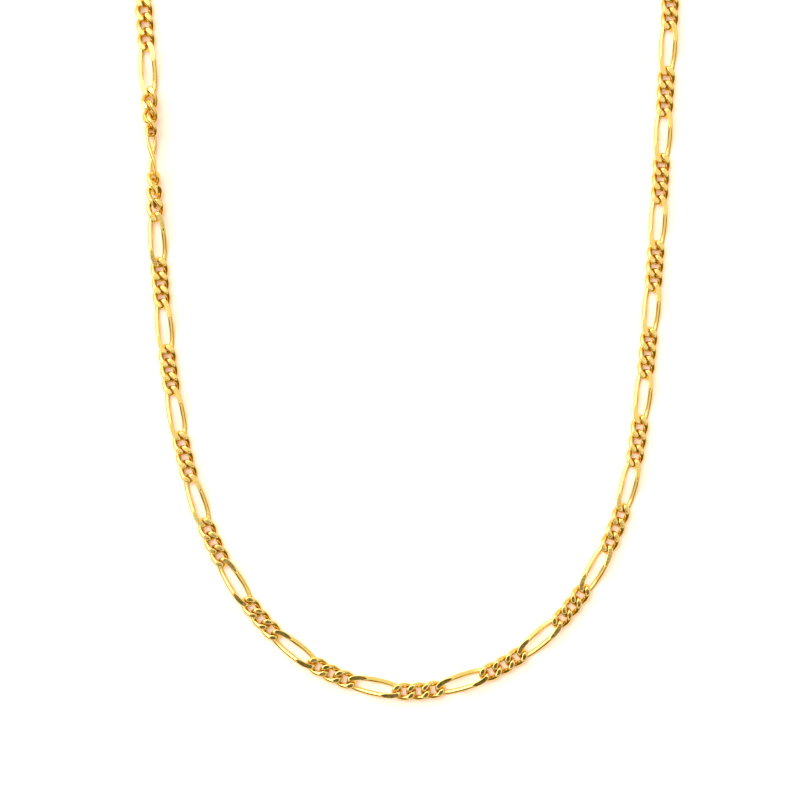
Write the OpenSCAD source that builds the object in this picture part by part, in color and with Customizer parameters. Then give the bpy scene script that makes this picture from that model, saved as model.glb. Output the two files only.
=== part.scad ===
// Figaro neck chain lying flat in a closed loop, pale gold.
// Three short oval links are followed by one long oval link, over and over.
// Every link is a round wire, twisted nearly a quarter turn between its two
// ends, so that a row of them lies flat, and then pressed flat on both faces.
// The loop is a deep U at the front (-Y), closed by a plain barrel clasp and
// two round rings at the back (+Y). One short stretch on the left is rolled
// over, with a long link standing on its edge in the middle of it.
// Units are mm. +Z is up, the chain lies on z = 0, and the origin is on that
// plane in the middle of the loop.

/* [Wire] */
// Diameter of the round wire of all links
wire_d = 0.80; // [0.70:0.01:0.80]
// Free play between two hooked links, along the chain
play = 0.20; // [0.18:0.01:0.24]
// Thickness of the pressed chain from face to face
thickness = 1.56; // [1.44:0.02:1.80]
// How much the pressing widens the wire, as a part of its width
spread = 0.20; // [0:0.1:0.4]
// Angle of each link end out of the plane of the chain, degrees
twist = 43; // [42:1:45]

/* [Short links] */
// Pitch of a short link from hinge to hinge
short_pitch = 2.57; // [2.55:0.02:2.85]
// Width over the wire of a short link
short_width = 3.20; // [3.16:0.02:3.36]
// Squareness of the short oval, 2 is an ellipse
short_square = 2.8; // [2.7:0.1:3.2]
// Short links between two long ones
shorts = 3; // [2:1:4]

/* [Long links] */
// Pitch of a long link from hinge to hinge
long_pitch = 8.09; // [7.0:0.01:9.0]
// Width over the wire of a long link
long_width = 3.20; // [3.16:0.02:3.40]
// Squareness of the long oval, 2 is an ellipse
long_square = 4.4; // [4.2:0.1:5.0]
// Number of long links in the whole chain
longs = 28; // [24:1:30]

/* [Rolled stretch] */
// Which long link stands on its edge, counted from the left ring
edge_link = 7; // [6:1:9]
// Roll from one link to the next in that stretch, degrees
roll_step = 22.5; // [18, 22.5]
// How much each rolled hinge closes up along the chain
take_up = 0.10; // [0:0.02:0.1]

/* [Slack stretches] */
// How much each hinge closes up where the chain lies slack
slack = 0.12; // [0:0.02:0.12]
// Slack on the left side, from one long link to another, counted from the left
slack_left = [6, 10]; // [1:1:30]
// Slack on the right side, counted the same way
slack_right = [19, 25]; // [1:1:30]

/* [Clasp and rings] */
// Diameter of the clasp barrel
barrel_d = 2.8; // [2.6:0.1:3.4]
// Length of the clasp barrel with its two cones
barrel_length = 8.0; // [6:0.5:10]
// Wire of the two loops of the clasp
loop_wire = 0.70; // [0.5:0.05:0.75]
// Diameter of a clasp loop, over its wire
loop_d = 2.7; // [2.6:0.1:2.9]
// Wire of the two rings
ring_wire = 0.60; // [0.5:0.05:0.65]
// Diameter of a ring, over its wire
ring_d = 3.4; // [3.2:0.1:3.5]

/* [Hidden] */

// Half of the pressed thickness, which is also the height of the chain's axis
half_thick = thickness / 2;
wire_r = wire_d / 2;
// Corner radius of the six-sided wire, between inscribed and equal area
sides = 6;
hex_r = wire_r * 1.03;
// Part of the half length over which a link twists, to its end if it is 1
short_share = 0.8;
long_share = 1;
// Half length and half width of the wire's centreline
short_a = (short_pitch + wire_d + play) / 2;
short_b = (short_width - wire_d) / 2;
long_a = (long_pitch + wire_d + play) / 2;
long_b = (long_width - wire_d) / 2;

// Stations along a link, as shares of the half length where they stand
short_marks = [1, 0.86, 0.36];
long_marks = [1, 0.95, 0.66, 0.27];

// Rings and clasp: radii of the centrelines and slant of their planes
ring_r = (ring_d - ring_wire) / 2;
loop_r = (loop_d - loop_wire) / 2;
slant = 45;
// The loop is sunk into the end of the barrel by this
loop_sink = 0.15;
// The clasp narrows over this length to a tip of this diameter
cone = barrel_d * 0.45;
tip_d = loop_wire * 1.5;
// Air that is left under the rings and under the rolled links
air = 0.05;
// Height of the clasp's axis over the table
clasp_z = max(barrel_d / 2, ring_r * sin(slant) + ring_wire / 2 + air);
// Number of flats of a round piece, and of the wire of a ring
round_n = 48;
wire_n = 24;
// Length of chain at each end that climbs to the height of the rings
climb = 15;
// Share of a climb by which its lower hinge is lifted
heel = 0.06;
// How far the rolled links stand above the flat ones
roll_rise = long_width / 2 - half_thick + air;

// Hand-placed points that steer the middle line of the chain on the table,
// counter-clockwise from the bottom of the U, before it is fitted in length
route = [
  [2, -3.5], [26, 8], [38, 29], [41, 46.5], [43.5, 75],
  [44.5, 92.5], [45.5, 110.5], [47, 134], [39.5, 162], [23.5, 177],
  [-2.5, 183], [-25.5, 178], [-42, 160], [-48.5, 141.5], [-46, 121.5],
  [-44.5, 90.5], [-43, 65.5], [-40.5, 45.5], [-35, 25], [-21.5, 5]
];
// How far the middle of the chain lies along the route from its first point
lead = -0.25;

// A point of the smooth curve that four steering points pull on
function pulled(p0, p1, p2, p3, t) =
  (pow(1 - t, 3) * p0 + (3 * pow(t, 3) - 6 * t * t + 4) * p1
    + (3 * t * t + 3 * t + 1 - 3 * pow(t, 3)) * p2 + pow(t, 3) * p3) / 6;

route_n = len(route);
// Parts that the curve is cut in between two steering points
steps = 24;
curve = [for (i = [0:route_n - 1]) for (j = [0:steps - 1])
  pulled(route[(i + route_n - 1) % route_n], route[i], route[(i + 1) % route_n],
    route[(i + 2) % route_n], j / steps)];
curve_n = len(curve);
runs = [for (i = 0, s = 0; i <= curve_n;
  s = s + norm(curve[(i + 1) % curve_n] - curve[i % curve_n]), i = i + 1) s];
curve_length = runs[curve_n];

// Links in their order along the chain: groups of shorts with a long between
links_n = longs + (longs + 1) * shorts;
function is_long(k) = k % (shorts + 1) == shorts;
edge_at = edge_link * (shorts + 1) - 1;
// Roll of a link about the chain, from flat through its edge to flat again
function roll_at(k) = min(180, max(0, 90 + roll_step * (k - edge_at)));
// The part of hinge k that is rolled, 1 inside the rolled stretch
function rolled(k) = abs(roll_at(k) - roll_at(k - 1)) / roll_step;
// 1 at a hinge that lies in a slack stretch, and 0 at any other
function between(k, stretch) =
  k >= stretch[0] * (shorts + 1) && k < stretch[1] * (shorts + 1) ? 1 : 0;
function closing(k) = take_up * rolled(k)
  + slack * max(between(k, slack_left), between(k, slack_right));
function pitch(k) = (is_long(k) ? long_pitch : short_pitch)
  - (closing(k) + closing(k + 1)) / 2;

// Places of the hinges along the chain, measured from its middle
places = [for (k = 0, s = 0; k <= links_n; s = s + pitch(k), k = k + 1) s];
chain_length = places[links_n];
// A ring and the clasp from hinge to hinge
ring_pitch = 2 * ring_r - ring_wire - play;
clasp_pitch = barrel_length + 4 * loop_r - 2 * loop_sink - loop_wire - play;
loop_length = chain_length + 2 * ring_pitch + clasp_pitch;
fit = loop_length / curve_length;

// A point of the fitted route at distance s from the middle of the chain, either way
function turn(s) = s < 0 ? s + curve_length : s >= curve_length ? s - curve_length : s;
x_table = [for (i = [0:curve_n]) [runs[i], curve[i % curve_n][0]]];
y_table = [for (i = [0:curve_n]) [runs[i], curve[i % curve_n][1]]];
function on_curve(s) =
  let (run = turn((s + lead) / fit))
  fit * [lookup(run, x_table), lookup(run, y_table)];

// The two ends of the clasp, and the middle of the loop, which is the origin
clasp_s0 = chain_length / 2 + ring_pitch;
clasp_s1 = clasp_s0 + clasp_pitch;
back_y = (on_curve(clasp_s0)[1] + on_curve(clasp_s1)[1]) / 2 + barrel_d / 2;
front_y = fit * min([for (p = curve) p[1]]) - short_b * cos(twist / 2) - wire_r;
xs = [for (p = curve) p[0]];
middle = [fit * (max(xs) + min(xs)) / 2, (back_y + front_y) / 2];
function on_route(s) = on_curve(s) - middle;

// Height of hinge k over the table: rolled links stand higher, and both ends
// of the chain climb to the rings
function ease(t) = t <= 0 ? 0 : t >= 1 ? 1 : t * t * (3 - 2 * t);
function climb_z(k) = half_thick
  + roll_rise * sqrt(sin((roll_at(k) + roll_at(k - 1)) / 2))
  + (clasp_z - half_thick)
    * ease(1 - min(places[k], chain_length - places[k]) / climb);
// A link that climbs also lifts its lower hinge a little, so that it clears
// the table with the end that reaches past the hinge
function hinge_z(k) =
  let (z = climb_z(k))
  let (before = climb_z(max(0, k - 1)))
  let (after = climb_z(min(links_n, k + 1)))
  z + heel * (max(0, before - z) + max(0, after - z));
function hinge(k) =
  let (p = on_route(places[k] - chain_length / 2)) [p[0], p[1], hinge_z(k)];

function unit(v) = v / norm(v);

// Centreline of a link at share u of its half length, on side 1 or -1
function across(u, square) = pow(max(0, 1 - pow(abs(u), square)), 1 / square);
function wire_at(u, side, a, b, square, share) =
  let (angle = -twist * min(1, max(-1, u / share)))
  let (y = side * b * across(u, square))
  [a * u, y * cos(angle), y * sin(angle)];

// The closed row of stations: [share, side] once round the link
function row(marks) = let (n = len(marks) - 1) concat(
  [[1, 1]],
  [for (i = [1:n]) [marks[i], 1]],
  [for (i = [n:-1:1]) [-marks[i], 1]],
  [[-1, 1]],
  [for (i = [1:n]) [-marks[i], -1]],
  [for (i = [n:-1:1]) [marks[i], -1]]);

// Corners of the wire at one station; both faces are cut flat at half_thick
function ring_points(c, t) =
  let (up = unit([0, 0, 1] - t[2] * t))
  let (out = cross(up, t))
  let (depth = min(1, max(0, (abs(c[2]) + wire_r - half_thick) / wire_r)))
  let (wide = hex_r * (1 + spread * depth))
  [for (j = [0:sides - 1])
    let (p = c + wide * cos(360 * j / sides) * out + hex_r * sin(360 * j / sides) * up)
    [p[0], p[1], min(half_thick, max(-half_thick, p[2]))]];

// All corners of one link round its own middle
function link_points(marks, a, b, square, share) =
  let (r = row(marks))
  let (n = len(r))
  let (c = [for (q = r) wire_at(q[0], q[1], a, b, square, share)])
  [for (i = [0:n - 1]) each ring_points(c[i], unit(c[(i + 1) % n] - c[(i + n - 1) % n]))];

short_points = link_points(short_marks, short_a, short_b, short_square, short_share);
long_points = link_points(long_marks, long_a, long_b, long_square, long_share);

// The triangles of a link with n stations, numbered from first
function link_faces(n, first) = [for (i = [0:n - 1]) for (j = [0:sides - 1])
  let (i2 = (i + 1) % n)
  let (j2 = (j + 1) % sides)
  let (p = first + i * sides + j)
  let (q = first + i2 * sides + j)
  let (p2 = first + i * sides + j2)
  let (q2 = first + i2 * sides + j2)
  each [[p, q2, p2], [p, q, q2]]];

// The points of link k where it lies
function placed(k) =
  let (h0 = hinge(k))
  let (h1 = hinge(k + 1))
  let (along = unit(h1 - h0))
  let (left = unit(cross([0, 0, 1], along)))
  let (up = cross(along, left))
  let (co = cos(roll_at(k)))
  let (si = sin(roll_at(k)))
  let (c = (h0 + h1) / 2)
  [for (p = is_long(k) ? long_points : short_points)
    c + p[0] * along + (p[1] * co - p[2] * si) * left + (p[1] * si + p[2] * co) * up];

short_size = len(short_points);
long_size = len(long_points);

// The links from number k0 to k1 as loose closed shells
module chain(k0, k1) {
  starts = [for (k = k0, s = 0; k <= k1;
    s = s + (is_long(k) ? long_size : short_size), k = k + 1) s];
  polyhedron(
    points = [for (k = [k0:k1]) each placed(k)],
    faces = [for (k = [k0:k1])
      each link_faces((is_long(k) ? long_size : short_size) / sides, starts[k - k0])],
    convexity = 10);
}

// The chain changes hands at the hinge next to the bottom of the U
split = floor(links_n / 2);

// Middle and direction of a piece of the clasp between two places
function spot(s0, s1) = let (p = (on_route(s0) + on_route(s1)) / 2) [p[0], p[1], clasp_z];
function heading(s0, s1) = let (v = on_route(s1) - on_route(s0)) atan2(v[1], v[0]);

// A round wire ring, its plane through the chain's direction and slanted
module wire_ring(r, wire, lean) {
  rotate([lean, 0, 0])
    rotate_extrude($fn = round_n)
      translate([r, 0])
        circle(d = wire, $fn = wire_n);
}

right_end = chain_length / 2;
left_end = -chain_length / 2;

module chain_left() {
  color([0.93, 0.74, 0.33]) chain(0, split - 1);
}

module chain_right() {
  color([0.95, 0.77, 0.36]) chain(split, links_n - 1);
}

module jump_ring_right() {
  color([0.90, 0.70, 0.30])
    translate(spot(right_end, clasp_s0))
      rotate([0, 0, heading(right_end, clasp_s0)])
        wire_ring(ring_r, ring_wire, slant);
}

module jump_ring_left() {
  color([0.90, 0.70, 0.30])
    translate(spot(left_end - ring_pitch, left_end))
      rotate([0, 0, heading(left_end - ring_pitch, left_end)])
        wire_ring(ring_r, ring_wire, -slant);
}

// A plain barrel with a cone and a wire loop at each end
module clasp() {
  half = barrel_length / 2;
  reach = half + loop_r - loop_sink;
  color([0.88, 0.69, 0.30])
    translate(spot(clasp_s0, clasp_s1))
      rotate([0, 0, heading(clasp_s0, clasp_s1)])
        union() {
          rotate([0, 90, 0])
            cylinder(d = barrel_d, h = 2 * (half - cone), center = true, $fn = round_n);
          translate([half - cone, 0, 0])
            rotate([0, 90, 0])
              cylinder(d1 = barrel_d, d2 = tip_d, h = cone, $fn = round_n);
          translate([cone - half, 0, 0])
            rotate([0, -90, 0])
              cylinder(d1 = barrel_d, d2 = tip_d, h = cone, $fn = round_n);
          translate([reach, 0, 0])
            wire_ring(loop_r, loop_wire, slant);
          translate([-reach, 0, 0])
            wire_ring(loop_r, loop_wire, -slant);
        }
}

chain_left();
chain_right();
jump_ring_left();
clasp();
jump_ring_right();
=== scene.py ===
import math
from collections import namedtuple

import bmesh
import bpy
import numpy as np
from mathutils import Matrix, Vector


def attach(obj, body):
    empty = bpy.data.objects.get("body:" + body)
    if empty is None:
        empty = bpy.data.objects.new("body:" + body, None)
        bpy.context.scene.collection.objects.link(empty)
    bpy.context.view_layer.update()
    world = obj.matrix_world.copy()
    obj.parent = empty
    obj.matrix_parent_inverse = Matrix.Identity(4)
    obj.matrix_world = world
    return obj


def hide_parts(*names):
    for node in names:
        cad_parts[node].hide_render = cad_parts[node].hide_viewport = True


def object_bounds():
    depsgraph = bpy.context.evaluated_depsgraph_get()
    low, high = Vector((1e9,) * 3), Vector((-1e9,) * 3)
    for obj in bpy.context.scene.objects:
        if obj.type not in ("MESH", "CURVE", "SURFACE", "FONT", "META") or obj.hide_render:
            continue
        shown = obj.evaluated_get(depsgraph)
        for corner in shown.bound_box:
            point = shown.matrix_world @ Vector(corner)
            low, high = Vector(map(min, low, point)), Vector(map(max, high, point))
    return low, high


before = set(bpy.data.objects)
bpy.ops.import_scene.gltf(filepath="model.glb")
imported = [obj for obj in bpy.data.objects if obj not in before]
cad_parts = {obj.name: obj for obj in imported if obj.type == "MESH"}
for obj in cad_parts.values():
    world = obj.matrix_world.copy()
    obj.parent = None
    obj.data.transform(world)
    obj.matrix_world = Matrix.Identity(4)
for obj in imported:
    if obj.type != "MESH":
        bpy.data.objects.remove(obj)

CAD_LOW, CAD_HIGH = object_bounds()

# Lengths are in mm and angles in degrees up to the meshes, which are in metres
MM = 0.001

# The links, as the part's source has them
WIRE_D = 0.80
PLAY = 0.20           # between two hooked links
THICK = 1.56          # once pressed
TWIST = 43.0          # at either end
SHORTS = 3            # in a group
LONGS = 28            # in the chain, each between two groups

# A kind of link. As in the part: its pitch, its width, how square its oval is, and the share of its
# half length at which the twist is full. For the seen links alone: the share at which they reach
# their height, how far the pressed wire spreads as a share of its radius, how far it swells to each
# side at the middle, how far the oval moves inward for that, and the stations round the oval
Kind = namedtuple("Kind", "pitch width square twist_to rise_to spread swell inward stations")
SHORT = Kind(pitch=2.57, width=3.20, square=2.8, twist_to=0.8, rise_to=0.8,
             spread=0.38, swell=0.09, inward=0.09, stations=56)
LONG = Kind(pitch=8.09, width=3.20, square=4.4, twist_to=1.0, rise_to=0.70,
            spread=0.12, swell=0.045, inward=0.0, stations=96)

# How the part lies
EDGE_LINK = 7         # the long link that stands on edge where the chain rolls over
ROLL_STEP = 22.5      # how much each link rolls there
TAKE_UP = 0.10        # how far a hinge closes up there
SLACK = 0.12          # how far a hinge closes up where the chain lies slack
SLACK_LEFT = (6, 10)  # between these long links
SLACK_RIGHT = (19, 25)
LEAD = -0.25          # shift of the chain along its route
CLIMB = 15.0          # the chain climbs to the rings over this length
HEEL = 0.06           # share of a neighbour's extra height that a hinge gains
AIR = 0.05            # clearance

# The clasp and the rings, as the part has them
BARREL_D = 2.8
BARREL_LENGTH = 8.0
LOOP_WIRE = 0.70
LOOP_D = 2.7
LOOP_SINK = 0.15      # how deep a loop sinks into the barrel
RING_WIRE = 0.60
RING_D = 3.4
SLANT = 45.0          # how rings and loops lean
CONE_SHARE = 0.45     # length of a cone to the barrel's diameter
TIP_SHARE = 1.5       # diameter of a cone's tip to the loop's wire

# The seen links, which hook closer than the solids. Shares are of a link's half length
SEEN_PLAY = 0.10
WIRE_SIDES = 24
MIDDLE_TO = 0.6       # the wire swells at the middle, up to this share
END_SWELL = 0.02      # and at the ends, by so much to each side
END_FROM = 0.8        # from this share on
EXTRA_TWIST = 0.15    # the ends turn further, by this share of the twist
EXTRA_FROM = 0.6      # from this share on
TOP = 0.68            # the wire's middle line levels off below this height
TOP_POWER = 6         # more makes a sharper bend there
LEAN = 0.07           # each end leans to the side where it is raised
LEAN_REACH = 1.3      # over so much of its length
LEAN_POWER = 1.5      # more makes it lean later
SOFT = 0.03           # softness of the rim round a pressed face
ROCK = 1.2            # the largest roll of a link that lies flat
SEED = 7              # of its random draws

HALF_THICK = THICK / 2
WIRE_R = WIRE_D / 2
RING_R = (RING_D - RING_WIRE) / 2
LOOP_R = (LOOP_D - LOOP_WIRE) / 2
CONE = BARREL_D * CONE_SHARE
TIP_D = LOOP_WIRE * TIP_SHARE
CLASP_Z = max(BARREL_D / 2, RING_R * math.sin(math.radians(SLANT)) + RING_WIRE / 2 + AIR)
ROLL_RISE = LONG.width / 2 - HALF_THICK + AIR

# Points that draw the chain's route, from the bottom of the U round its right side
ROUTE = np.array([
    [2, -3.5], [26, 8], [38, 29], [41, 46.5], [43.5, 75],
    [44.5, 92.5], [45.5, 110.5], [47, 134], [39.5, 162], [23.5, 177],
    [-2.5, 183], [-25.5, 178], [-42, 160], [-48.5, 141.5], [-46, 121.5],
    [-44.5, 90.5], [-43, 65.5], [-40.5, 45.5], [-35, 25], [-21.5, 5]], float)
ROUTE_STEPS = 24


def spline(points, steps):
    """A closed uniform cubic B-spline, with so many steps from one point to the next."""
    curve = []
    for i in range(len(points)):
        p0, p1, p2, p3 = (points[(i + d) % len(points)] for d in (-1, 0, 1, 2))
        for j in range(steps):
            t = j / steps
            curve.append(((1 - t) ** 3 * p0 + (3 * t ** 3 - 6 * t * t + 4) * p1
                          + (3 * t * t + 3 * t + 1 - 3 * t ** 3) * p2 + t ** 3 * p3) / 6)
    return np.array(curve + curve[:1])


CURVE = spline(ROUTE, ROUTE_STEPS)
RUNS = np.r_[0, np.cumsum(np.linalg.norm(np.diff(CURVE, axis=0), axis=1))]
CURVE_LENGTH = RUNS[-1]

LINKS = LONGS + (LONGS + 1) * SHORTS
EDGE_AT = EDGE_LINK * (SHORTS + 1) - 1


# Where the links lie
def kind_of(k):
    """The kind of link k. A long link follows each group of short ones."""
    return LONG if k % (SHORTS + 1) == SHORTS else SHORT


def roll_at(k):
    """How far link k has rolled over."""
    return min(180.0, max(0.0, 90 + ROLL_STEP * (k - EDGE_AT)))


def closing(k):
    """How far hinge k closes up along the chain, where it rolls over or lies slack."""
    rolled = abs(roll_at(k) - roll_at(k - 1)) / ROLL_STEP
    slack = any(a * (SHORTS + 1) <= k < b * (SHORTS + 1) for a, b in (SLACK_LEFT, SLACK_RIGHT))
    return TAKE_UP * rolled + SLACK * slack


def hinge_places():
    """How far along the chain each hinge lies, from its first one."""
    places = [0.0]
    for k in range(LINKS):
        places.append(places[-1] + kind_of(k).pitch - (closing(k) + closing(k + 1)) / 2)
    return places


PLACES = hinge_places()
CHAIN = PLACES[-1]
RING_PITCH = 2 * RING_R - RING_WIRE - PLAY
CLASP_PITCH = BARREL_LENGTH + 4 * LOOP_R - 2 * LOOP_SINK - LOOP_WIRE - PLAY
CLASP_S0 = CHAIN / 2 + RING_PITCH
CLASP_S1 = CLASP_S0 + CLASP_PITCH
# The route is scaled so that the chain, rings and clasp just fill it
FIT = (CHAIN + 2 * RING_PITCH + CLASP_PITCH) / CURVE_LENGTH


def on_curve(s):
    """The place at s along the route, from the bottom of the U, in the route's own frame."""
    s = ((s + LEAD) / FIT) % CURVE_LENGTH
    return FIT * np.array([np.interp(s, RUNS, CURVE[:, 0]), np.interp(s, RUNS, CURVE[:, 1])])


# The middle of the part's box, which is the origin
SHORT_B = (SHORT.width - WIRE_D) / 2
BACK_Y = (on_curve(CLASP_S0)[1] + on_curve(CLASP_S1)[1]) / 2 + BARREL_D / 2
FRONT_Y = FIT * CURVE[:, 1].min() - SHORT_B * math.cos(math.radians(TWIST / 2)) - WIRE_R
MIDDLE = np.array([FIT * (CURVE[:, 0].max() + CURVE[:, 0].min()) / 2, (BACK_Y + FRONT_Y) / 2])


def on_route(s):
    """The place at s along the route, in the part's frame."""
    return on_curve(s) - MIDDLE


def ease(t):
    """A smooth step from 0 to 1."""
    t = np.clip(t, 0, 1)
    return t * t * (3 - 2 * t)


def climb_z(k):
    """The height of hinge k, which rises where the chain rolls over and toward the clasp."""
    mean_roll = math.radians((roll_at(k) + roll_at(k - 1)) / 2)
    to_end = min(PLACES[k], CHAIN - PLACES[k])
    return (HALF_THICK + ROLL_RISE * math.sqrt(max(0.0, math.sin(mean_roll)))
            + (CLASP_Z - HALF_THICK) * ease(1 - to_end / CLIMB))


def hinge(k):
    """Where hinge k is. It gains a little height where a neighbour stands higher."""
    z = climb_z(k)
    before, after = climb_z(max(0, k - 1)), climb_z(min(LINKS, k + 1))
    z += HEEL * (max(0, before - z) + max(0, after - z))
    return np.append(on_route(PLACES[k] - CHAIN / 2), z)


# One link: round wire along a twisted oval, pressed flat on both faces
FINE_POINTS = 8001    # for finding even stations round an oval
TANGENT_STEP = 0.002  # of the angle, to either side
EXP_LIMIT = 50        # keeps an exponential from running over


def signed_power(v, p):
    return np.sign(v) * np.abs(v) ** p


def half_length(kind):
    """Half the length of the oval that a link's wire follows."""
    return (kind.pitch + WIRE_D + SEEN_PLAY) / 2 + END_SWELL


def middle_line(t, kind):
    """The middle line of a link's wire at the angles t round its oval."""
    a = half_length(kind)
    b = (kind.width - WIRE_D) / 2 - kind.inward
    x = a * signed_power(np.cos(t), 2 / kind.square)
    y = b * signed_power(np.sin(t), 2 / kind.square)
    extra = EXTRA_TWIST * np.sign(x) * ease((np.abs(x) / a - EXTRA_FROM) / (1 - EXTRA_FROM))
    twist, climb = (-np.radians(TWIST) * (np.clip(x / (a * share), -1, 1) + extra)
                    for share in (kind.twist_to, kind.rise_to))
    y = y * np.cos(twist)
    rise = y * np.tan(climb)
    z = rise / (1 + np.abs(rise / TOP) ** TOP_POWER) ** (1 / TOP_POWER)
    lean = LEAN * np.clip(1 - (a - np.abs(x)) / LEAN_REACH, 0, 1) ** LEAN_POWER
    return np.c_[x, y - lean * np.sign(x), z]


def evenly_spaced(kind):
    """Angles round a link's oval that lie evenly along its middle line."""
    t = np.linspace(0, 2 * np.pi, FINE_POINTS)
    s = np.r_[0, np.cumsum(np.linalg.norm(np.diff(middle_line(t, kind), axis=0), axis=1))]
    return np.interp(np.arange(kind.stations) * s[-1] / kind.stations, s, t)


def half_wide(middle, kind):
    """Half the width of the wire along its middle line."""
    depth = np.clip((np.abs(middle[:, 2]) + WIRE_R - HALF_THICK) / WIRE_R, 0, 1)
    from_middle = np.abs(middle[:, 0]) / half_length(kind)
    return (WIRE_R * (1 + kind.spread * depth)
            + kind.swell * np.clip(1 - from_middle / MIDDLE_TO, 0, 1)
            + END_SWELL * np.clip((from_middle - END_FROM) / (1 - END_FROM), 0, 1))


def unit(vectors):
    return vectors / np.linalg.norm(vectors, axis=1)[:, None]


def tube_faces(around, sides):
    """The quads of a closed tube with so many stations, each of so many points."""
    return [[i * sides + j, (i + 1) % around * sides + j,
             (i + 1) % around * sides + (j + 1) % sides, i * sides + (j + 1) % sides]
            for i in range(around) for j in range(sides)]


def link_mesh(kind):
    """Points, normals and faces of one link round its own middle."""
    t = evenly_spaced(kind)
    middle = middle_line(t, kind)
    along = unit(middle_line(t + TANGENT_STEP, kind) - middle_line(t - TANGENT_STEP, kind))
    up = unit(np.array([0, 0, 1.0]) - along[:, 2:] * along)
    out = np.cross(up, along)
    wide = half_wide(middle, kind)[:, None, None]
    turn = np.linspace(0, 2 * np.pi, WIRE_SIDES, endpoint=False)
    outward = np.cos(turn)[None, :, None] * out[:, None, :]
    upward = np.sin(turn)[None, :, None] * up[:, None, :]
    points = (middle[:, None, :] + wide * outward + WIRE_R * upward).reshape(-1, 3)
    normals = (outward / wide + upward / WIRE_R).reshape(-1, 3)
    # pressing keeps the heights up to nearly HALF_THICK and levels them off there, with a soft rim,
    # and turns the normals toward the flat face
    above = (np.abs(points[:, 2]) - HALF_THICK) / SOFT
    points[:, 2] -= np.sign(points[:, 2]) * SOFT * np.logaddexp(0, above)
    normals[:, :2] /= 1 + np.exp(np.minimum(above, EXP_LIMIT))[:, None]
    return points, unit(normals), tube_faces(kind.stations, WIRE_SIDES)


LINK_MESH = {kind: link_mesh(kind) for kind in (SHORT, LONG)}
ROCKING = np.random.default_rng(SEED).uniform(-1, 1, LINKS)


def placed(k):
    """Points and normals of link k, set between its two hinges and rolled over as it lies."""
    h0, h1 = hinge(k), hinge(k + 1)
    along = (h1 - h0) / np.linalg.norm(h1 - h0)
    left = np.cross([0, 0, 1], along)
    left /= np.linalg.norm(left)
    up = np.cross(along, left)
    lies_flat = roll_at(k) in (0, 180)
    roll = math.radians(roll_at(k) + ROCK * ROCKING[k] * lies_flat)
    cos, sin = math.cos(roll), math.sin(roll)
    points, normals = (
        v[:, :1] * along + (v[:, 1:2] * cos - v[:, 2:] * sin) * left
        + (v[:, 1:2] * sin + v[:, 2:] * cos) * up for v in LINK_MESH[kind_of(k)][:2])
    return (h0 + h1) / 2 + points, normals


# Meshes. An edge that bends by more than its crease stays sharp
NO_CREASE = 180
RING_CREASE = 32
CLASP_CREASE = 24


def joined(parts):
    """Points and faces of several meshes as one."""
    faces, count = [], 0
    for part_points, part_faces in parts:
        faces += [[i + count for i in face] for face in part_faces]
        count += len(part_points)
    return np.vstack([part_points for part_points, _ in parts]), faces


def mesh_piece(name, points, faces, material, crease):
    """A smooth object with outward faces, in metres."""
    mesh = bpy.data.meshes.new(name)
    mesh.from_pydata((points * MM).tolist(), [], faces)
    mesh.update()
    mesh.materials.append(material)
    mesh.polygons.foreach_set("use_smooth", [True] * len(mesh.polygons))
    mesh.set_sharp_from_angle(angle=math.radians(crease))
    shell = bmesh.new()
    shell.from_mesh(mesh)
    bmesh.ops.recalc_face_normals(shell, faces=shell.faces)
    shell.to_mesh(mesh)
    shell.free()
    piece = bpy.data.objects.new(name, mesh)
    bpy.context.scene.collection.objects.link(piece)
    return piece


def ramp(tree, value, stops):
    """A colour ramp through (position, colour) stops, fed by a value."""
    node = tree.nodes.new("ShaderNodeValToRGB")
    elements = node.color_ramp.elements
    elements[0].position, elements[1].position = stops[0][0], stops[-1][0]
    for at, _ in stops[1:-1]:
        elements.new(at)
    for element, (_, colour) in zip(elements, stops):
        element.color = (*colour, 1)
    tree.links.new(value, node.inputs["Fac"])
    return node.outputs["Color"]


def grey(level):
    return (level, level, level)


# Gold. A noise has a scale, in waves a metre, and a detail. The clouds and the rub marks show
# between two levels of their noise, and the ripple bends the surface a little
CLOUD_SCALE, CLOUD_DETAIL, CLOUD_LEVELS = 700, 3, (0.35, 0.65)
RUB_SCALE, RUB_DETAIL, RUB_LEVELS = 1600, 4, (0.3, 0.7)
RIPPLE_SCALE, RIPPLE_DETAIL = 2600, 5
RIPPLE_STRENGTH, RIPPLE_HEIGHT = 0.2, 0.02
# The clouds of the polish take this share of the colour, and the rub marks change the roughness
# between these shares
CLOUDY = (0.97, 0.93, 0.84)
RUBBED = (0.7, 1.35)
SHEEN = (1.0, 0.92, 0.72)
# Painted shade: where the space within this reach is less open than the first level, the gold is
# painted brown as shade, and where it is more open than the second, it keeps its polished colour
CREVICE_REACH, CREVICE_SAMPLES, CREVICE_LEVELS = 0.5, 8, (0.35, 0.9)
CREVICE_SHADE_BROWN = (0.72, 0.42, 0.004)


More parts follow.
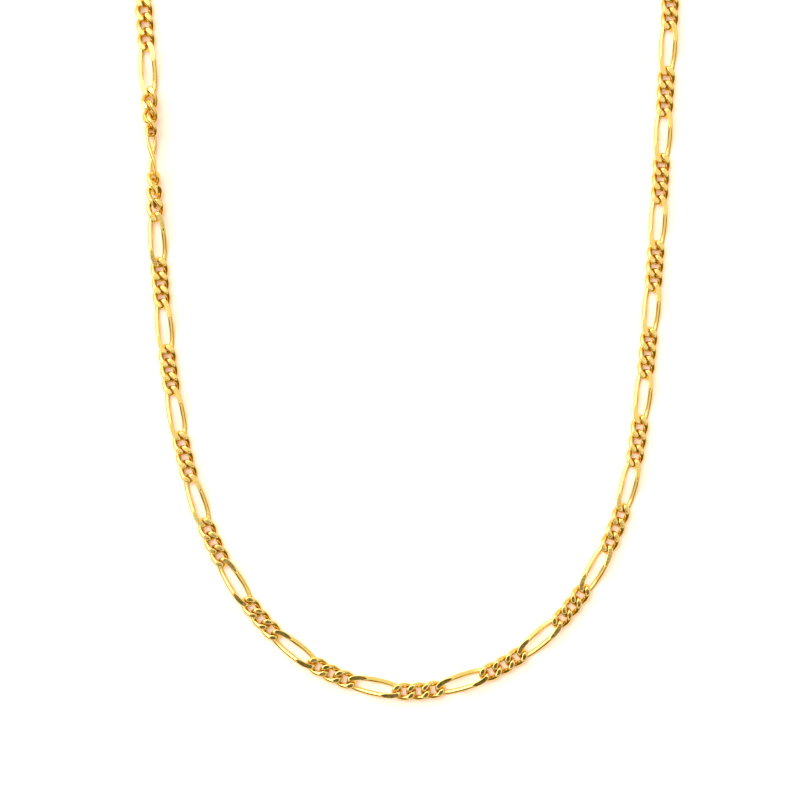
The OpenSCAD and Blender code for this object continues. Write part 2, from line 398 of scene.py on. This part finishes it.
def gold(name, colour, rough):
    """Polished gold plate: cloudy polish, fine rub marks, a faint ripple and shade painted brown
    into the crevices.
    """
    material = bpy.data.materials.new(name)
    material.use_nodes = True
    tree = material.node_tree
    shader = tree.nodes["Principled BSDF"]
    shader.inputs["Metallic"].default_value = 1.0
    shader.inputs["Specular Tint"].default_value = (*SHEEN, 1)
    place = tree.nodes.new("ShaderNodeTexCoord")

    def noise(scale, detail):
        node = tree.nodes.new("ShaderNodeTexNoise")
        node.inputs["Scale"].default_value = scale
        node.inputs["Detail"].default_value = detail
        tree.links.new(place.outputs["Object"], node.inputs["Vector"])
        return node.outputs["Fac"]

    # painted shade: the gold is painted brown where the crevices between the links are closed in
    crevice = tree.nodes.new("ShaderNodeAmbientOcclusion")
    crevice.samples = CREVICE_SAMPLES
    crevice.inputs["Distance"].default_value = CREVICE_REACH * MM
    openness = ramp(tree, crevice.outputs["AO"], list(zip(CREVICE_LEVELS, (grey(0), grey(1)))))
    cloudy = tuple(c * share for c, share in zip(colour, CLOUDY))
    clouds = noise(CLOUD_SCALE, CLOUD_DETAIL)
    polish = ramp(tree, clouds, list(zip(CLOUD_LEVELS, (cloudy, colour))))
    crevice_shading = tree.nodes.new("ShaderNodeMix")
    crevice_shading.data_type = "RGBA"
    tree.links.new(openness, crevice_shading.inputs["Factor"])
    shade_socket, polish_socket = (s for s in crevice_shading.inputs if s.type == "RGBA")
    # the brown of the painted crevice shade
    shade_socket.default_value = (*CREVICE_SHADE_BROWN, 1)
    tree.links.new(polish, polish_socket)
    shaded_colour = next(s for s in crevice_shading.outputs if s.type == "RGBA")
    tree.links.new(shaded_colour, shader.inputs["Base Color"])

    rubs = noise(RUB_SCALE, RUB_DETAIL)
    roughness = [(level, grey(rough * share)) for level, share in zip(RUB_LEVELS, RUBBED)]
    tree.links.new(ramp(tree, rubs, roughness), shader.inputs["Roughness"])

    ripple = tree.nodes.new("ShaderNodeBump")
    ripple.inputs["Strength"].default_value = RIPPLE_STRENGTH
    ripple.inputs["Distance"].default_value = RIPPLE_HEIGHT * MM
    tree.links.new(noise(RIPPLE_SCALE, RIPPLE_DETAIL), ripple.inputs["Height"])
    tree.links.new(ripple.outputs["Normal"], shader.inputs["Normal"])
    return material


WIRE_GOLD = gold("gold_wire", (0.83, 0.62, 0.19), rough=0.10)
RING_GOLD = gold("gold_ring", (0.86, 0.60, 0.18), rough=0.14)
CLASP_GOLD = gold("gold_clasp", (0.86, 0.59, 0.18), rough=0.16)


# The chain
def chain(name, node, first, last):
    """The links from the first up to the last, with the normals of their rounded wire."""
    parts, normals = [], []
    for k in range(first, last):
        link_points, link_normals = placed(k)
        parts.append((link_points, LINK_MESH[kind_of(k)][2]))
        normals.append(link_normals)
    piece = mesh_piece(name, *joined(parts), WIRE_GOLD, NO_CREASE)
    piece.data.normals_split_custom_set_from_vertices(np.vstack(normals).tolist())
    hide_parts(node)
    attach(piece, "root")


SPLIT = LINKS // 2
chain("chain_left_links", "chain_left", 0, SPLIT)
chain("chain_right_links", "chain_right", SPLIT, LINKS)

# Rings and clasp, turned in mesh code
ROUND = 72            # stations round a ring or the barrel
RING_SIDES = 20       # sides of their wire


def torus(r, wire, lean):
    """A round wire ring in the plane through +X, leaned about +X."""
    a, t = np.meshgrid(np.linspace(0, 2 * np.pi, ROUND, endpoint=False),
                       np.linspace(0, 2 * np.pi, RING_SIDES, endpoint=False), indexing="ij")
    reach = r + wire / 2 * np.cos(t)
    x, y, z = (v.ravel() for v in (reach * np.cos(a), reach * np.sin(a), wire / 2 * np.sin(t)))
    cos, sin = math.cos(math.radians(lean)), math.sin(math.radians(lean))
    return np.c_[x, y * cos - z * sin, y * sin + z * cos], tube_faces(ROUND, RING_SIDES)


def lathe(profile):
    """A closed body turned about X from (x, r) points."""
    n = len(profile)
    angles = np.linspace(0, 2 * np.pi, ROUND, endpoint=False)
    points = [[x, r * math.cos(t), r * math.sin(t)] for t in angles for x, r in profile]
    faces = [[i * n + j, i * n + j + 1, (i + 1) % ROUND * n + j + 1, (i + 1) % ROUND * n + j]
             for i in range(ROUND) for j in range(n - 1)]
    faces += [[i * n for i in range(ROUND)], [i * n + n - 1 for i in reversed(range(ROUND))]]
    return np.array(points), faces


def set_at(points, s0, s1):
    """Points round the origin, set between two places on the route at the clasp's height."""
    along = on_route(s1) - on_route(s0)
    along /= np.linalg.norm(along)
    middle = (on_route(s0) + on_route(s1)) / 2
    return np.c_[middle[0] + points[:, 0] * along[0] - points[:, 1] * along[1],
                 middle[1] + points[:, 0] * along[1] + points[:, 1] * along[0],
                 CLASP_Z + points[:, 2]]


def jump_ring(node, s0, s1, lean):
    """A ring between two places on the route."""
    points, faces = torus(RING_R, RING_WIRE, lean)
    piece = mesh_piece(node + "_wire", set_at(points, s0, s1), faces, RING_GOLD, RING_CREASE)
    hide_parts(node)
    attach(piece, "root")


jump_ring("jump_ring_left", -CHAIN / 2 - RING_PITCH, -CHAIN / 2, -SLANT)
jump_ring("jump_ring_right", CHAIN / 2, CLASP_S0, SLANT)

# The barrel has bevelled ends, a rounded shoulder at each cone and a fine seam round its middle
END_BEVEL, END_SHARE = 0.06, 0.86
SHOULDER, SHOULDER_IN, SHOULDER_DOWN = 0.12, 0.04, 0.012
SEAM_EDGE, SEAM_BOTTOM, SEAM_DEPTH = 0.06, 0.02, 0.03


def barrel():
    """The clasp's body, turned about X."""
    half, r, tip = BARREL_LENGTH / 2, BARREL_D / 2, TIP_D / 2
    edge = half - CONE
    side = [(half, tip * END_SHARE), (half - END_BEVEL, tip),
            (edge + SHOULDER, r - SHOULDER * (r - tip) / CONE),
            (edge + SHOULDER_IN, r - SHOULDER_DOWN), (edge - SHOULDER, r),
            (SEAM_EDGE, r), (SEAM_BOTTOM, r - SEAM_DEPTH)]
    return lathe(side + [(-x, y) for x, y in reversed(side)])


def clasp():
    """The barrel with a wire loop sunk into each end."""
    parts = [barrel()]
    for sign in (1, -1):
        points, faces = torus(LOOP_R, LOOP_WIRE, sign * SLANT)
        parts.append((points + [sign * (BARREL_LENGTH / 2 + LOOP_R - LOOP_SINK), 0, 0], faces))
    points, faces = joined(parts)
    points = set_at(points, CLASP_S0, CLASP_S1)
    piece = mesh_piece("clasp_barrel", points, faces, CLASP_GOLD, CLASP_CREASE)
    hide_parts("clasp")
    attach(piece, "root")


clasp()

# The floor, with its size in metres. It glows a little, so that it stays as white as the photo's
FLOOR_SIZE = 3
FLOOR_COLOUR = (0.95, 0.75, 0.64)
FLOOR_GLOW, FLOOR_GLOW_STRENGTH = (1.0, 0.7, 0.38), 0.20
FLOOR_ROUGH, FLOOR_GLOSS = 0.6, 0.2


def lay_floor():
    bpy.ops.mesh.primitive_plane_add(size=FLOOR_SIZE, location=(0, 0, CAD_LOW[2]))
    floor = bpy.context.object
    floor.name = "floor"
    material = bpy.data.materials.new("floor_white")
    material.use_nodes = True
    shader = material.node_tree.nodes["Principled BSDF"]
    shader.inputs["Base Color"].default_value = (*FLOOR_COLOUR, 1)
    shader.inputs["Emission Color"].default_value = (*FLOOR_GLOW, 1)
    shader.inputs["Emission Strength"].default_value = FLOOR_GLOW_STRENGTH
    shader.inputs["Roughness"].default_value = FLOOR_ROUGH
    shader.inputs["Specular IOR Level"].default_value = FLOOR_GLOSS
    floor.data.materials.append(material)
    return floor


floor = lay_floor()

# The studio: a white tent that darkens toward its foot, more so at the near side (-Y)
TENT_UP = (0, 0.45, 1)
TENT = [(0.0, 0.08), (0.3, 0.15), (0.48, 0.75), (0.65, 1.0), (0.9, 1.05)]
# A soft lamp to the upper left, which grows from its edge to its core
LAMP_TOWARD = (-0.5, 0.45, 0.74)
LAMP_EDGE, LAMP_CORE, LAMP_POWER = 0.77, 0.93, 3.0
# A dark oval beside the zenith, such as a photographer's camera leaves: how far it lies toward -Y,
# half its width and height, and the light in it. Its core and edge, between which it fades, are
# squares of shares of its radius
DARK_Y, DARK_WIDE, DARK_HIGH, DARK_LEVEL = 0.105, 0.13, 0.08, 0.08
DARK_CORE, DARK_EDGE = 0.6, 1.1
# Where the room is dark its light is brown, and where it is bright, white
ROOM = [(0.1, (1.6, 1.2, 0.55)), (0.75, grey(1.10))]


def light_studio(world):
    """Light the world from its tent, lamp and dark oval."""
    world.use_nodes = True
    tree = world.node_tree
    sky = tree.nodes.new("ShaderNodeTexCoord")

    def toward(v):
        """How far a direction of the sky points along v."""
        node = tree.nodes.new("ShaderNodeVectorMath")
        node.operation = "DOT_PRODUCT"
        node.inputs[1].default_value = v
        tree.links.new(sky.outputs["Generated"], node.inputs[0])
        return node.outputs["Value"]

    def eased(value, start, end, low, high):
        """A smooth step from low to high, while the value goes from start to end."""
        node = tree.nodes.new("ShaderNodeMapRange")
        node.interpolation_type = "SMOOTHSTEP"
        for name, x in zip(("From Min", "From Max", "To Min", "To Max"), (start, end, low, high)):
            node.inputs[name].default_value = x
        tree.links.new(value, node.inputs["Value"])
        return node.outputs["Result"]

    def maths(operation, *terms):
        node = tree.nodes.new("ShaderNodeMath")
        node.operation = operation
        for socket, term in zip(node.inputs, terms):
            if isinstance(term, float):
                socket.default_value = term
            else:
                tree.links.new(term, socket)
        return node.outputs["Value"]

    tent = ramp(tree, toward(TENT_UP), [(at, grey(level)) for at, level in TENT])
    lamp = eased(toward(LAMP_TOWARD), LAMP_EDGE, LAMP_CORE, 0.0, LAMP_POWER)
    u = maths("DIVIDE", toward((1, 0, 0)), DARK_WIDE)
    v = maths("DIVIDE", maths("ADD", toward((0, 1, 0)), DARK_Y), DARK_HIGH)
    from_oval = maths("ADD", maths("MULTIPLY", u, u), maths("MULTIPLY", v, v))
    shade = eased(from_oval, DARK_CORE, DARK_EDGE, DARK_LEVEL, 1.0)
    light = maths("MULTIPLY", maths("ADD", tent, lamp), shade)
    background = tree.nodes["Background"]
    tree.links.new(ramp(tree, light, ROOM), background.inputs["Color"])
    tree.links.new(light, background.inputs["Strength"])


scene = bpy.context.scene
scene.world = bpy.data.worlds.new("studio")
light_studio(scene.world)

# The photo: its scale, its side and middle, and the route's zero, in pixels
PIXELS_PER_MM = 5.7
PHOTO_SIDE = 800
PHOTO_MIDDLE = 399.5
ZERO_X, ZERO_Y = 407, 690
# The camera hangs above, so many metres high
CAMERA_HEIGHT = 0.5
SENSOR = 36


def photo_camera():
    """A camera straight above that sees what the photo shows."""
    view = PHOTO_SIDE * MM / PIXELS_PER_MM
    lens = bpy.data.cameras.new("camera")
    lens.sensor_width = SENSOR
    lens.lens = SENSOR * (CAMERA_HEIGHT - HALF_THICK * MM) / view
    camera = bpy.data.objects.new("camera", lens)
    camera.location = (((PHOTO_MIDDLE - ZERO_X) / PIXELS_PER_MM - MIDDLE[0]) * MM,
                       ((ZERO_Y - PHOTO_MIDDLE) / PIXELS_PER_MM - MIDDLE[1]) * MM, CAMERA_HEIGHT)
    scene.collection.objects.link(camera)
    return camera


scene.camera = photo_camera()
scene.view_settings.view_transform = "Standard"
scene.view_settings.look = "None"
